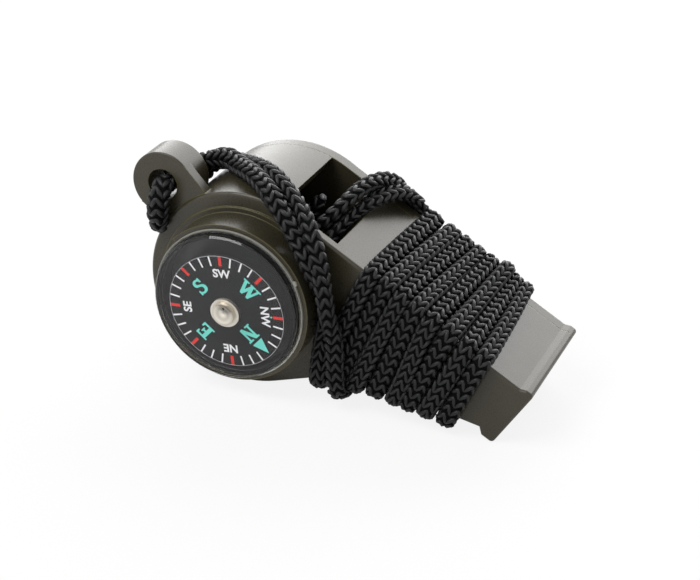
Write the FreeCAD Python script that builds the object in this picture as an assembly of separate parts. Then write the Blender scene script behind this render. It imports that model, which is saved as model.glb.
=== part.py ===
import FreeCAD, Part
import math
import os

# A barrel whistle with a button compass in a collar on its near end and a knitted lanyard
# wound round its mouthpiece.
# The shapes are drawn with the mouthpiece level: the barrel's axis is the Y axis, the near end
# face of the barrel lies at y = 0, the compass stands out towards -Y, the mouthpiece runs along
# +X, and its flat top is square to Z.
# At the end everything is turned about Y until it rests on barrel and lip, and is put on z = 0.

# Barrel and mouthpiece
BARREL_R = 13.6
BODY_WIDTH = 19.6
COVER_T = 2.1
NEAR_WALL = 1.4
BARREL_WALL = 2.0
COVER_RECESS = 0.4
COVER_ROUND = 0.4
EDGE_ROUND = 0.4
BELLY_ANGLE = 48.0
WEDGE_ANGLE = 18.7
WEDGE_END_X = 35.0
WEDGE_END_Z = 5.25
THROAT_ROUND = 8.0

# How far a cutting shape runs past the face it opens
OVERCUT = 1.0

# Lip at the tip
TIP_X = 38.0
TIP_LEAN = 0.4
LIP_LENGTH = 1.9
LIP_RAMP = 0.8
LIP_TOP = 0.4
LIP_DROP = 0.8
LIP_ROUND = 0.55

# Sound window and windway
WINDOW_LEFT = -2.1
WINDOW_LENGTH = 8.8
WINDOW_DEPTH = 4.4
WINDWAY_ROOF = 2.0
WINDWAY_IN = 2.8
WINDWAY_OUT = 1.6
WINDWAY_SIDE = 0.6

# Ear for the lanyard
EAR_X = -16.5
EAR_Z = 5.0
EAR_R = 4.4
EAR_HOLE_R = 2.1
EAR_FRONT = 0.6
EAR_T = 4.6
EAR_ROUND = 0.2
EAR_WEB_T = 1.6
EAR_WEB_LOW = 0.6

# Compass capsule
LID_R = 10.0
LID_FRONT = 1.6
LID_WALL = 0.5
LID_FACE_T = 0.65
LID_DOME = 0.6
LID_EDGE = 0.25
FLANGE_LIP = 0.4
FLANGE_R = LID_R + FLANGE_LIP
FLANGE_T = 0.3
CAPSULE_FIT = 0.08
BASE_FLOOR = 0.8
BASE_WALL = 0.5
NUB_R = 0.35
NUB_ANGLE = 57.0

# Collar for the compass
COLLAR_WALL = 1.0
COLLAR_R = LID_R + COLLAR_WALL
COLLAR_H = 4.4
COLLAR_FOOT_STEP = 0.7
COLLAR_FOOT_R = COLLAR_R + COLLAR_FOOT_STEP
COLLAR_FOOT_H = 0.3
COLLAR_SEAT_T = 0.4
RELIEF_DEPTH = 0.5
RELIEF_START = 166.0
RELIEF_SWEEP = 80.0

# Ridge that centres the cover in the barrel
RIDGE_H = 1.0
RIDGE_T = 1.0
RIDGE_GAP = 0.1

# Card and its bearing
CARD_ROOM = 1.32
CARD_R = LID_R - CAPSULE_FIT - BASE_WALL - CARD_ROOM
CARD_T = 0.4
CARD_DEPTH = 1.57
CARD_DROP_X = 0.3
CARD_DROP_Z = -0.95
CARD_LEAN = 4.689
CARD_LEAN_WAY = 127.57
CUP_RING_R = 2.0
CUP_BORE_R = 1.5
CUP_RING_H = 0.55
CUP_CAP_R = 1.45
CUP_CAP_H = 1.3
CUP_SLEEVE_WALL = 0.15
CUP_WALL = 0.25
CUP_RIM = 0.15
CUP_DIMPLE = 0.25
CUP_FIT = 0.03
MAGNET_INSET = 3.6
MAGNET_R = CARD_R - MAGNET_INSET
MAGNET_T = 1.0
PIN_R = 0.25
PIN_TIP_R = 0.05
PIN_POINT = 0.5
PIN_REACH = 0.45
PIN_SINK = 0.5
PIN_BOSS_R = 1.2
PIN_BOSS_H = 0.8

# Pea
PEA_R = 4.75
PEA_GAP = 0.02

# Lanyard
CORD_D = 2.0
CORD_SIDES = 12
CORD_GAP = 0.15
WRAP_T = 1.4
WRAP_ROUND = 1.1
WRAP_TOP_LEFT = 11.6
WRAP_LOW_LEFT = 14.3
WRAP_TOP_RIGHT = 31.6
WRAP_LOW_RIGHT = 33.2

# Centre line of the lanyard where it isn't wound, in the level frame, chosen by hand: through
# the ear, over the barrel and down the near side, and from the far side into the window
EAR_MIDDLE = (-16.5, 2.6, 5.0)
EAR_BACK = (-14.9, 9.8, 1.8)
EAR_LOOP = [
    EAR_MIDDLE,
    (-16.2, -1.0, 5.2),
    (-14.8, -1.0, 1.4),
    (-14.4, 2.2, -3.0),
    (-14.5, 6.6, -2.4),
    EAR_BACK,
]
CROSS_A = [
    EAR_BACK,
    (-14.6, 11.8, 5.2),
    (-12.6, 10.3, 7.9),
    (-9.3, 7.3, 11.5),
    (-6.1, 5.3, 13.7),
    (-2.9, 2.8, 14.7),
    (0.3, 0.5, 14.9),
    (3.2, -1.5, 14.5),
    (5.8, -2.8, 13.2),
    (8.3, -3.7, 11.0),
    (11.0, -4.0, 7.8),
    (13.9, -1.3, 3.8),
]
CROSS_B = [
    EAR_MIDDLE,
    (-16.3, 7.1, 5.2),
    (-12.9, 8.0, 9.1),
    (-9.2, 4.9, 11.9),
    (-5.7, 1.7, 13.8),
    (-3.0, -0.6, 14.5),
    (-0.4, -1.8, 14.0),
    (2.1, -2.5, 13.2),
    (4.8, -3.1, 11.8),
    (7.0, -3.0, 10.3),
    (9.2, -1.5, 8.3),
    (11.3, -1.4, 5.0),
    (13.0, -1.3, 0.6),
    (15.4, -1.0, -3.6),
]
TUCK_A = [
    (13.2, 20.4, 11.4),
    (11.3, 20.5, 14.2),
    (8.9, 17.6, 16.2),
    (7.0, 13.2, 16.3),
    (6.0, 8.4, 15.0),
    (5.4, 4.7, 12.6),
    (4.9, 3.6, 9.2),
    (4.4, 3.8, 6.2),
]
TUCK_B = [
    (13.3, 20.4, 7.9),
    (10.6, 20.4, 11.0),
    (8.3, 20.6, 14.3),
    (6.6, 17.8, 16.2),
    (4.9, 13.6, 16.9),
    (3.8, 8.8, 16.0),
    (3.1, 5.0, 13.2),
    (2.6, 3.4, 9.6),
    (1.8, 3.6, 6.4),
]


def point(x, y, z):
    return FreeCAD.Vector(x, y, z)


def segment(start, end):
    return Part.LineSegment(start, end).toShape()


def arc(start, middle, end):
    return Part.Arc(start, middle, end).toShape()


def box(x0, x1, y0, y1, z0, z1):
    return Part.makeBox(x1 - x0, y1 - y0, z1 - z0, point(x0, y0, z0))


def drum(radius, y0, y1, x=0.0, z=0.0):
    return Part.makeCylinder(radius, y1 - y0, point(x, y0, z), point(0, 1, 0))


def plate(points, y0, y1):
    # a straight-sided outline in the XZ plane, pushed from y0 to y1
    corners = [point(x, y0, z) for x, z in points]
    face = Part.Face(Part.makePolygon(corners + corners[:1]))
    return face.extrude(point(0, y1 - y0, 0))


def turned(points):
    # a profile of (radius, y) turned about the Y axis
    corners = [point(r, y, 0) for r, y in points]
    face = Part.Face(Part.makePolygon(corners + corners[:1]))
    return face.revolve(point(0, 0, 0), point(0, 1, 0), 360)


def throat():
    # where the slope that leaves the barrel meets the underside of the mouthpiece
    leave = math.radians(BELLY_ANGLE)
    wedge = math.radians(WEDGE_ANGLE)
    belly = (BARREL_R * math.sin(leave), -BARREL_R * math.cos(leave))
    rise = math.tan(leave)
    slope = math.tan(wedge)
    x = (WEDGE_END_Z - slope * WEDGE_END_X - belly[1] + rise * belly[0]) / (rise - slope)
    z = belly[1] + rise * (x - belly[0])
    return belly, (x, z)


def throat_sag():
    # how far the rounded throat hangs below the sharp corner of its two slopes
    half = math.radians(BELLY_ANGLE - WEDGE_ANGLE) / 2
    return THROAT_ROUND / math.cos(half) - THROAT_ROUND


def lip_bottom():
    # the lowest straight stretch of the lip, which the whistle rests on
    return WEDGE_END_Z - LIP_DROP


def snail(y0, y1):
    # the side view of barrel and mouthpiece, with the lip at the tip
    belly, corner = throat()
    leave = math.radians(BELLY_ANGLE)
    wedge = math.radians(WEDGE_ANGLE)
    reach = THROAT_ROUND * math.tan((leave - wedge) / 2)
    start = (corner[0] - reach * math.cos(leave), corner[1] - reach * math.sin(leave))
    end = (corner[0] + reach * math.cos(wedge), corner[1] + reach * math.sin(wedge))
    centre = (start[0] + THROAT_ROUND * math.sin(leave), start[1] - THROAT_ROUND * math.cos(leave))
    half = (leave + wedge) / 2
    middle = (centre[0] - THROAT_ROUND * math.sin(half), centre[1] + THROAT_ROUND * math.cos(half))
    low = lip_bottom()
    high = BARREL_R + LIP_TOP
    foot = TIP_X - TIP_LEAN
    soft = LIP_ROUND * (1 - math.sqrt(0.5))

    def at(x, z):
        return point(x, y0, z)

    edges = [
        arc(at(0, BARREL_R), at(-BARREL_R, 0), at(*belly)),
        segment(at(*belly), at(*start)),
        arc(at(*start), at(*middle), at(*end)),
        segment(at(*end), at(WEDGE_END_X, WEDGE_END_Z)),
        segment(at(WEDGE_END_X, WEDGE_END_Z), at(WEDGE_END_X + LIP_RAMP, low)),
        segment(at(WEDGE_END_X + LIP_RAMP, low), at(foot - LIP_ROUND, low)),
        arc(at(foot - LIP_ROUND, low), at(foot - soft, low + soft), at(foot, low + LIP_ROUND)),
        segment(at(foot, low + LIP_ROUND), at(TIP_X, high - LIP_ROUND)),
        arc(at(TIP_X, high - LIP_ROUND), at(TIP_X - soft, high - soft), at(TIP_X - LIP_ROUND, high)),
        segment(at(TIP_X - LIP_ROUND, high), at(TIP_X - LIP_LENGTH + LIP_RAMP, high)),
        segment(at(TIP_X - LIP_LENGTH + LIP_RAMP, high), at(TIP_X - LIP_LENGTH, BARREL_R)),
        segment(at(TIP_X - LIP_LENGTH, BARREL_R), at(0, BARREL_R)),
    ]
    return Part.Face(Part.Wire(edges)).extrude(point(0, y1 - y0, 0))


def rounded(solid, radius, wanted):
    # rounds the edges that the test picks
    return solid.makeFillet(radius, [edge for edge in solid.Edges if wanted(edge)])


def in_plane(edge, y):
    box_of_edge = edge.BoundBox
    return max(abs(box_of_edge.YMin - y), abs(box_of_edge.YMax - y)) < 1e-3


def seam():
    return BODY_WIDTH - COVER_T


def windway():
    # the flat air passage from the tip to the window, open towards the cover
    roof = BARREL_R - WINDWAY_ROOF
    window_right = WINDOW_LEFT + WINDOW_LENGTH
    outline = [
        (window_right - OVERCUT, roof),
        (window_right - OVERCUT, roof - WINDWAY_OUT),
        (window_right, roof - WINDWAY_OUT),
        (TIP_X + OVERCUT, roof - WINDWAY_IN),
        (TIP_X + OVERCUT, roof),
    ]
    return plate(outline, NEAR_WALL + WINDWAY_SIDE, seam())


def window():
    right = WINDOW_LEFT + WINDOW_LENGTH
    deep = BARREL_R - WINDOW_DEPTH
    return box(WINDOW_LEFT, right, NEAR_WALL, seam(), deep, BARREL_R + OVERCUT)


def ear():
    disc = drum(EAR_R, EAR_FRONT, EAR_FRONT + EAR_T, EAR_X, EAR_Z)
    disc = rounded(disc, EAR_ROUND, lambda edge: in_plane(edge, EAR_FRONT))
    lean = math.atan2(EAR_Z, EAR_X)
    across = (-math.sin(lean) * EAR_R, math.cos(lean) * EAR_R)
    depth = BARREL_R - BARREL_WALL / 2
    inner = (math.cos(lean) * depth, math.sin(lean) * depth)
    outline = [
        (EAR_X + across[0], EAR_Z + across[1]),
        (inner[0] + EAR_WEB_LOW * across[0], inner[1] + EAR_WEB_LOW * across[1]),
        (inner[0] - across[0], inner[1] - across[1]),
        (EAR_X - across[0], EAR_Z - across[1]),
    ]
    web = plate(outline, EAR_FRONT, EAR_FRONT + EAR_WEB_T)
    return disc.fuse(web)


def collar():
    ring = drum(COLLAR_R, -COLLAR_H, 0).fuse(drum(COLLAR_FOOT_R, -COLLAR_FOOT_H, 0))
    hub = drum(COLLAR_R - RELIEF_DEPTH, -COLLAR_H, 0)
    start = math.radians(RELIEF_START)
    far = 2 * COLLAR_R
    steps = [start + math.radians(RELIEF_SWEEP) * share for share in (0, 0.5, 1)]
    corners = [(0, 0)] + [(far * math.cos(a), far * math.sin(a)) for a in steps]
    sector = plate(corners, -COLLAR_H, -COLLAR_FOOT_H)
    return ring.cut(sector).fuse(hub)


def whistle_body():
    shell = snail(0, seam())
    shell = rounded(shell, EDGE_ROUND, lambda edge: in_plane(edge, 0))
    shell = shell.fuse([ear(), collar()])
    shell = shell.cut(drum(BARREL_R - BARREL_WALL, NEAR_WALL, seam()))
    shell = shell.cut(drum(LID_R, -COLLAR_H, -COLLAR_SEAT_T))
    hole = drum(EAR_HOLE_R, EAR_FRONT - OVERCUT, EAR_FRONT + EAR_T + OVERCUT, EAR_X, EAR_Z)
    return shell.cut([hole, window(), windway()]).removeSplitter()


def side_cover():
    # the outline plate, a slightly raised round end, and a ridge that centres it in the barrel
    flat = BODY_WIDTH - COVER_RECESS
    end = drum(BARREL_R, seam(), BODY_WIDTH)
    end = rounded(end, COVER_ROUND, lambda edge: in_plane(edge, BODY_WIDTH))
    outer = BARREL_R - BARREL_WALL - RIDGE_GAP
    top = seam() - RIDGE_H
    ridge = drum(outer, top, seam()).cut(drum(outer - RIDGE_T, top, seam()))
    clear = box(WINDOW_LEFT - OVERCUT, BARREL_R, top, seam(), 0, BARREL_R)
    return snail(seam(), flat).fuse([end, ridge.cut(clear)]).removeSplitter()


def compass_lid():
    # clear domed front with a thin flange that rests on the collar, turned in one piece
    front = -COLLAR_H - LID_FRONT
    face = front + LID_FACE_T
    inner = LID_R - LID_WALL
    shoulder = -COLLAR_H - FLANGE_T
    skirt = -COLLAR_H + FLANGE_T
    plug = LID_R - CAPSULE_FIT
    outline = [
        dome_arc(LID_R - LID_EDGE, LID_DOME, front),
        segment(point(LID_R - LID_EDGE, front, 0), point(LID_R, front + LID_EDGE, 0)),
        segment(point(LID_R, front + LID_EDGE, 0), point(LID_R, shoulder, 0)),
        segment(point(LID_R, shoulder, 0), point(FLANGE_R, shoulder, 0)),
        segment(point(FLANGE_R, shoulder, 0), point(FLANGE_R, -COLLAR_H, 0)),
        segment(point(FLANGE_R, -COLLAR_H, 0), point(plug, -COLLAR_H, 0)),
        segment(point(plug, -COLLAR_H, 0), point(plug, skirt, 0)),
        segment(point(plug, skirt, 0), point(inner, skirt, 0)),
        segment(point(inner, skirt, 0), point(inner, face, 0)),
        dome_arc(inner, LID_DOME, face),
        segment(point(0, face - LID_DOME, 0), point(0, front - LID_DOME, 0)),
    ]
    profile = Part.Face(Part.Wire(Part.__sortEdges__(outline)))
    lid = profile.revolve(point(0, 0, 0), point(0, 1, 0), 360)
    angle = math.radians(NUB_ANGLE)
    nub_x = FLANGE_R * math.cos(angle)
    nub_z = FLANGE_R * math.sin(angle)
    nub = drum(NUB_R, shoulder, -COLLAR_H, nub_x, nub_z)
    return lid.fuse(nub)


def dome_arc(radius, height, y):
    # half of a shallow arc that bulges towards -Y from a circle at y, down to the axis
    ball = (radius * radius + height * height) / (2 * height)
    half = math.asin(radius / ball) / 2
    middle = point(ball * math.sin(half), y - height + ball - ball * math.cos(half), 0)
    return arc(point(0, y - height, 0), middle, point(radius, y, 0))


def compass_base():
    top = -COLLAR_H + FLANGE_T
    back = -COLLAR_SEAT_T
    outer = LID_R - CAPSULE_FIT
    cup = drum(outer, top, back).cut(drum(outer - BASE_WALL, top, back - BASE_FLOOR))
    floor = back - BASE_FLOOR
    boss = drum(PIN_BOSS_R, floor - PIN_BOSS_H, floor)
    return cup.fuse(boss).cut(drum(PIN_R, floor - PIN_BOSS_H, floor + PIN_SINK)).removeSplitter()


def card_front():
    return -COLLAR_H - LID_FRONT + CARD_DEPTH


def pivot_pin():
    floor = -COLLAR_SEAT_T - BASE_FLOOR
    neck = card_front() - PIN_REACH + PIN_POINT
    shank = drum(PIN_R, neck, floor + PIN_SINK)
    cone = Part.makeCone(PIN_R, PIN_TIP_R, PIN_POINT, point(0, neck, 0), point(0, -1, 0))
    return shank.fuse(cone).removeSplitter()


def card_back():
    # the way the card's back looks: the Y axis, leaned a little
    lean = math.radians(CARD_LEAN)
    way = math.radians(CARD_LEAN_WAY)
    return point(math.sin(lean) * math.cos(way), math.cos(lean), math.sin(lean) * math.sin(way))


def tipped(shape):
    # the card and what is on it hang low on the pin and lean with it
    turn = FreeCAD.Rotation(point(0, 1, 0), card_back())
    placed = shape.copy()
    placed.Placement = FreeCAD.Placement(point(CARD_DROP_X, card_front(), CARD_DROP_Z), turn)
    return placed


def compass_card():
    bore = CUP_BORE_R + CUP_SLEEVE_WALL
    return tipped(drum(CARD_R, 0, CARD_T).cut(drum(bore, 0, CARD_T)))


def bearing_cup():
    # stepped cup: a sleeve through the card, a ring on its front, and a smaller cap
    # with a dimple
    bore = CUP_BORE_R
    ring_top = -CUP_RING_H
    cap_top = -CUP_CAP_H
    profile = [
        (bore, CARD_T),
        (bore + CUP_SLEEVE_WALL - CUP_FIT, CARD_T),
        (bore + CUP_SLEEVE_WALL - CUP_FIT, 0),
        (CUP_RING_R, 0),
        (CUP_RING_R, ring_top),
        (CUP_CAP_R, ring_top),
        (CUP_CAP_R, cap_top),
        (CUP_CAP_R - CUP_RIM, cap_top),
        (0, cap_top + CUP_DIMPLE),
        (0, cap_top + CUP_DIMPLE + CUP_WALL),
        (CUP_CAP_R - CUP_WALL, cap_top + CUP_WALL),
        (CUP_CAP_R - CUP_WALL, ring_top + CUP_WALL),
        (bore, ring_top + CUP_WALL),
    ]
    return tipped(turned(profile))


def card_magnet():
    bore = CUP_BORE_R + 2 * CUP_SLEEVE_WALL
    back = CARD_T + MAGNET_T
    return tipped(drum(MAGNET_R, CARD_T, back).cut(drum(bore, CARD_T, back)))


def rest_angle():
    # the turn about Y that brings the lip's rounded foot down to the level of the barrel's
    # lowest line
    foot = TIP_X - TIP_LEAN - LIP_ROUND
    low = lip_bottom() + LIP_ROUND
    return math.asin((BARREL_R - LIP_ROUND) / math.hypot(foot, low)) + math.atan2(low, foot)


def pea():
    # the ball lies on the lowest line of the barrel once the whistle is turned to rest
    reach = BARREL_R - BARREL_WALL - PEA_R - PEA_GAP
    angle = rest_angle()
    middle = (NEAR_WALL + seam()) / 2
    centre = point(reach * math.sin(angle), middle, -reach * math.cos(angle))
    return Part.makeSphere(PEA_R, centre)


def wrap_outline(out):
    # the mouthpiece under the winding, seen from the side, moved out by a thickness
    belly, corner = throat()
    wedge = math.radians(WEDGE_ANGLE)
    leave = math.radians(BELLY_ANGLE)
    shift_wedge = (out * math.sin(wedge), -out * math.cos(wedge))
    shift_belly = (out * math.sin(leave), -out * math.cos(leave))
    half = (leave + wedge) / 2
    stretch = out / math.cos((leave - wedge) / 2)
    shift_corner = (stretch * math.sin(half), -stretch * math.cos(half))
    end = (WEDGE_END_X, WEDGE_END_Z)
    return [
        (0, BARREL_R + out),
        (belly[0] + shift_belly[0], belly[1] + shift_belly[1]),
        (corner[0] + shift_corner[0], corner[1] + shift_corner[1] - throat_sag()),
        (end[0] + shift_wedge[0], end[1] + shift_wedge[1]),
        (end[0] + shift_wedge[0], BARREL_R + out),
    ]


def lanyard_wrap():
    # the outer form of the winding: a sleeve that follows the wedge of the mouthpiece
    out = CORD_GAP + WRAP_T
    outer = plate(wrap_outline(out), -out, BODY_WIDTH - COVER_RECESS + out)
    bore = plate(wrap_outline(CORD_GAP), -CORD_GAP, BODY_WIDTH - COVER_RECESS + CORD_GAP)
    high = BARREL_R + 2 * out
    low = -BARREL_R
    slope_left = (WRAP_LOW_LEFT - WRAP_TOP_LEFT) / BARREL_R
    slope_right = (WRAP_LOW_RIGHT - WRAP_TOP_RIGHT) / (BARREL_R - WEDGE_END_Z)
    band = [
        (WRAP_TOP_LEFT - slope_left * (high - BARREL_R), high),
        (WRAP_TOP_LEFT + slope_left * (BARREL_R - low), low),
        (WRAP_TOP_RIGHT + slope_right * (BARREL_R - low), low),
        (WRAP_TOP_RIGHT - slope_right * (high - BARREL_R), high),
    ]
    side_edges = []
    for edge in outer.Edges:
        along = edge.Vertexes[1].Point - edge.Vertexes[0].Point
        on_side = in_plane(edge, -out) or in_plane(edge, BODY_WIDTH - COVER_RECESS + out)
        if on_side and abs(along.x) > WRAP_T:
            side_edges.append(edge)
    outer = outer.makeFillet(WRAP_ROUND, side_edges)
    return outer.cut(bore).common(plate(band, -2 * out, BODY_WIDTH + 2 * out))


def cord_tube(name, points, diameter):
    # straight runs joined by tangent arcs, each as large as its two runs allow, with a
    # many-sided section to keep the mesh light
    corners = [point(*p) for p in points]
    edges = []
    here = corners[0]
    radii = []
    for before, corner, after in zip(corners, corners[1:], corners[2:]):
        back = before - corner
        ahead = after - corner
        reach = 0.45 * min(back.Length, ahead.Length)
        back.normalize()
        ahead.normalize()
        half_turn = (math.pi - back.getAngle(ahead)) / 2
        radius = reach / math.tan(half_turn)
        radii.append(round(radius, 1))
        start = corner + back * reach
        end = corner + ahead * reach
        inward = back + ahead
        inward.normalize()
        middle = corner + inward * (radius / math.cos(half_turn) - radius)
        edges.append(segment(here, start))
        edges.append(arc(start, middle, end))
        here = end
    edges.append(segment(here, corners[-1]))
    path = Part.Wire(edges)
    ring = Part.Circle(corners[0], corners[1] - corners[0], diameter / 2).toShape()
    section = Part.makePolygon(ring.discretize(CORD_SIDES + 1))
    tube = path.makePipeShell([section], True, False)
    share = tube.Volume / (Part.Face(section).Area * path.Length)
    print(name, "length", round(path.Length, 1), "volume share", round(share, 4), "radii", radii)
    return tube


def stood(shape):
    # turned about Y and lifted, so that barrel and lip stand on z = 0
    placed = shape.copy()
    placed.rotate(point(0, 0, 0), point(0, 1, 0), math.degrees(rest_angle()))
    placed.translate(point(0, 0, BARREL_R))
    return placed


SOLIDS = {
    "whistle_body": whistle_body(),
    "side_cover": side_cover(),
    "compass_lid": compass_lid(),
    "compass_base": compass_base(),
    "pivot_pin": pivot_pin(),
    "compass_card": compass_card(),
    "bearing_cup": bearing_cup(),
    "card_magnet": card_magnet(),
    "pea": pea(),
}
CORDS = {
    "lanyard_wrap": lanyard_wrap(),
    "lanyard_ear_loop": cord_tube("ear loop", EAR_LOOP, CORD_D),
    "lanyard_cross_a": cord_tube("crossing a", CROSS_A, CORD_D),
    "lanyard_cross_b": cord_tube("crossing b", CROSS_B, CORD_D),
    "lanyard_tuck_a": cord_tube("tuck a", TUCK_A, CORD_D),
    "lanyard_tuck_b": cord_tube("tuck b", TUCK_B, CORD_D),
}

# The origin is the middle of the underside of the whistle without its cord
WHOLE = Part.makeCompound([stood(solid) for solid in SOLIDS.values()]).optimalBoundingBox()
MIDDLE = point(WHOLE.Center.x, WHOLE.Center.y, 0)


def at_rest(shape):
    placed = stood(shape)
    placed.translate(-MIDDLE)
    return placed


def spot(x, y, z):
    # a point of the level frame, at rest
    return at_rest(Part.Vertex(point(x, y, z))).Point


os.makedirs("parts", exist_ok=True)
for name, solid in {**SOLIDS, **CORDS}.items():
    placed = at_rest(solid)
    placed.exportStep("parts/" + name + ".step")
    print(name, len(placed.Solids), "solid, valid", placed.isValid(), round(placed.Volume, 2))

CARD_SPOT = spot(CARD_DROP_X, card_front(), CARD_DROP_Z)
CARD_AXIS = spot(*card_back()) - spot(0, 0, 0)
print("rest angle", round(math.degrees(rest_angle()), 3), "middle", MIDDLE)
print("box without cord", WHOLE)
print("card centre", CARD_SPOT, "card axis", CARD_AXIS)
print("far face centre", spot(0, BODY_WIDTH, 0))
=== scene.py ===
"""Survival whistle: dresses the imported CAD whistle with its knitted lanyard, printed compass dial and finishes."""

import math

import bmesh
import bpy
import numpy as np
from bpy.props import FloatProperty, FloatVectorProperty, IntProperty, PointerProperty
from mathutils import Matrix, Vector
from mathutils.bvhtree import BVHTree


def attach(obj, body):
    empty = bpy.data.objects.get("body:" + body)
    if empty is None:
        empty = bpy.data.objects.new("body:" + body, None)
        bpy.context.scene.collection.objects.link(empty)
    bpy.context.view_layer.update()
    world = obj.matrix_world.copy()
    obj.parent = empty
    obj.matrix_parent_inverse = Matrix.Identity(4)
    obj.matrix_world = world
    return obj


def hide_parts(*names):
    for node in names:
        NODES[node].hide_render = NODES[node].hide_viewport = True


bl_info = {
    "name": "Survival whistle",
    "version": (1, 0, 0),
    "blender": (4, 5, 0),
    "location": "3D View > Sidebar > Whistle",
    "description": "Knitted lanyard, compass dial, plastics and studio of a barrel whistle",
    "category": "Object",
}

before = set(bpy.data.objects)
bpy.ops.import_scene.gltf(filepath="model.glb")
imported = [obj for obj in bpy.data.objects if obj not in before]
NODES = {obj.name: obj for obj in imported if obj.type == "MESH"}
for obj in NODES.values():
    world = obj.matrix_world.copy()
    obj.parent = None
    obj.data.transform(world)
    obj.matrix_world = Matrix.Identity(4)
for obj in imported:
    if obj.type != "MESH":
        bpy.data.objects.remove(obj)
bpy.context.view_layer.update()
MM = 0.001

# The CAD is drawn with the mouthpiece level. It then turns about Y until it rests on barrel and lip.
REST_TURN = math.radians(28.116)
BARREL_AXIS = Vector((-11.6612, -6.5, 13.6)) * MM

# The card leans on its pin: where its front is, and the way its axis points, into the barrel
CARD_CENTRE = Vector((-11.8443, -10.93, 12.6207)) * MM
CARD_AXIS = Vector((-0.0134278, 0.9966531, 0.0806368)).normalized()


def linear(code):
    """An sRGB hex colour as linear red, green and blue."""
    shares = [int(code[i:i + 2], 16) / 255 for i in (1, 3, 5)]
    return [s / 12.92 if s <= 0.04045 else ((s + 0.055) / 1.055) ** 2.4 for s in shares]


def colour(name, text, code):
    return FloatVectorProperty(
        name=name, description=text, subtype="COLOR", size=3, min=0, max=1, default=linear(code))


def length(name, text, mm):
    return FloatProperty(
        name=name, description=text, unit="LENGTH", subtype="DISTANCE", precision=5, min=0, default=mm * MM)


# ---------------------------------------------------------------- settings


class WhistlePlastics(bpy.types.PropertyGroup):
    olive: colour("Olive", "Colour of the moulded whistle", "#3b372a")
    # painted highlight: the lighter, yellower olive tinted onto the edges stands in for the light that they catch
    olive_edge_highlight: colour("Olive at the edges", "Thin edges let light through and look yellower", "#6c6632")
    edge_round: length("Edge round", "How far the look of an edge reaches in from it", 0.2)
    black: colour("Black", "Colour of the compass housing", "#1d1d20")
    pea: colour("Pea", "Colour of the ball inside", "#3b2f24")


class WhistleDial(bpy.types.PropertyGroup):
    north: FloatProperty(
        name="North", description="Where the north mark points, from the row's +X", unit="ROTATION",
        default=math.radians(-38.94))
    tick_inner: length("Tick inner radius", "Where the ticks begin", 6.6)
    tick_outer: length("Tick outer radius", "Where the ticks end", 7.95)
    tick_width: length("White tick width", "Width of a small tick", 0.22)
    point_width: length("Red tick width", "Width of a tick at a compass point", 0.42)
    print_height: length("Print thickness", "How far the ink stands off the card", 0.02)
    card: colour("Card", "Ground colour of the card", "#18181a")
    teal: colour("Teal", "Colour of the main letters", "#6fd6c8")
    red: colour("Red", "Colour of the ticks at the compass points", "#d62f2a")
    white: colour("White", "Colour of small ticks and letters", "#e8e8ea")


class WhistleLanyard(bpy.types.PropertyGroup):
    pitch: length("Course pitch", "Length of one knitted course", 1.45)
    wales: IntProperty(name="Wales", description="Columns of stitches round the cord", min=4, max=12, default=4)
    yarn: length("Yarn thickness", "Width of one leg of a stitch", 0.56)
    cord_length: FloatProperty(
        name="Cord length", description="Whole length of the lanyard", unit="LENGTH", default=0.836)
    yarn_dark: colour("Yarn", "Colour of the black polyester", "#0e0e0f")
    yarn_light: colour("Yarn highlight", "Colour of worn, fuzzy filaments", "#1a1a1c")


class WhistleStudio(bpy.types.PropertyGroup):
    floor: colour("Floor", "Colour of the floor", "#f6f6f6")
    key: FloatProperty(
        name="Back softbox", description="Power of the large softbox behind and above", unit="POWER", default=5.0)
    fill: FloatProperty(
        name="Front fill", description="Power of the soft light at the front left", unit="POWER", default=2.8)
    sky: FloatProperty(name="Room light", description="Strength of the light from all round", default=0.35)


# ---------------------------------------------------------------- small helpers


def at_rest(x, y, z):
    """A point of the level drawing, in millimetres, where it is at rest."""
    c, s = math.cos(REST_TURN), math.sin(REST_TURN)
    return BARREL_AXIS + Vector((x * c + z * s, y, -x * s + z * c)) * MM


def piece(name, mesh, material, body):
    """A new object of a mesh that already lies in place."""
    obj = bpy.data.objects.new(name, mesh)
    bpy.context.scene.collection.objects.link(obj)
    mesh.materials.clear()
    mesh.materials.append(material)
    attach(obj, body)
    return obj


def mesh_of(bm, name, smooth=False):
    mesh = bpy.data.meshes.new(name)
    bm.to_mesh(mesh)
    bm.free()
    mesh.polygons.foreach_set("use_smooth", [smooth] * len(mesh.polygons))
    return mesh


def baked(obj, name):
    """The mesh of an object with its modifiers, and the object removed."""
    graph = bpy.context.evaluated_depsgraph_get()
    mesh = bpy.data.meshes.new_from_object(obj.evaluated_get(graph), depsgraph=graph)
    mesh.name = name
    data = obj.data
    kind = bpy.data.meshes if obj.type == "MESH" else bpy.data.curves
    bpy.data.objects.remove(obj)
    kind.remove(data)
    return mesh


def add(tree, kind, settings=None, **links):
    """Adds a node. Settings are its properties; links are its inputs, with a value or another node's output.

    An input goes by its name, or by its number, such as _0, where several share a name.
    """
    made = tree.nodes.new(kind)
    for key, value in (settings or {}).items():
        setattr(made, key, value)
    for key, value in links.items():
        socket = made.inputs[int(key[1:])] if key[0] == "_" else made.inputs[key.replace("_", " ")]
        if isinstance(value, bpy.types.NodeSocket):
            tree.links.new(value, socket)
        else:
            socket.default_value = value
    return made


def material(name):
    """An empty material, its tree and its Object coordinates."""
    made = bpy.data.materials.new(name)
    made.use_nodes = True
    tree = made.node_tree
    tree.nodes.clear()
    where = add(tree, "ShaderNodeTexCoord").outputs["Object"]
    return made, tree, where


def rgba(colour_value):
    return (*colour_value, 1)


def grains(mm):
    """The scale of a noise whose grains are so many millimetres across."""
    return 1 / (mm * MM)


def waves(mm):
    """The scale of a wave texture whose crests lie so many millimetres apart."""
    return math.tau / 20 / (mm * MM)


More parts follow.
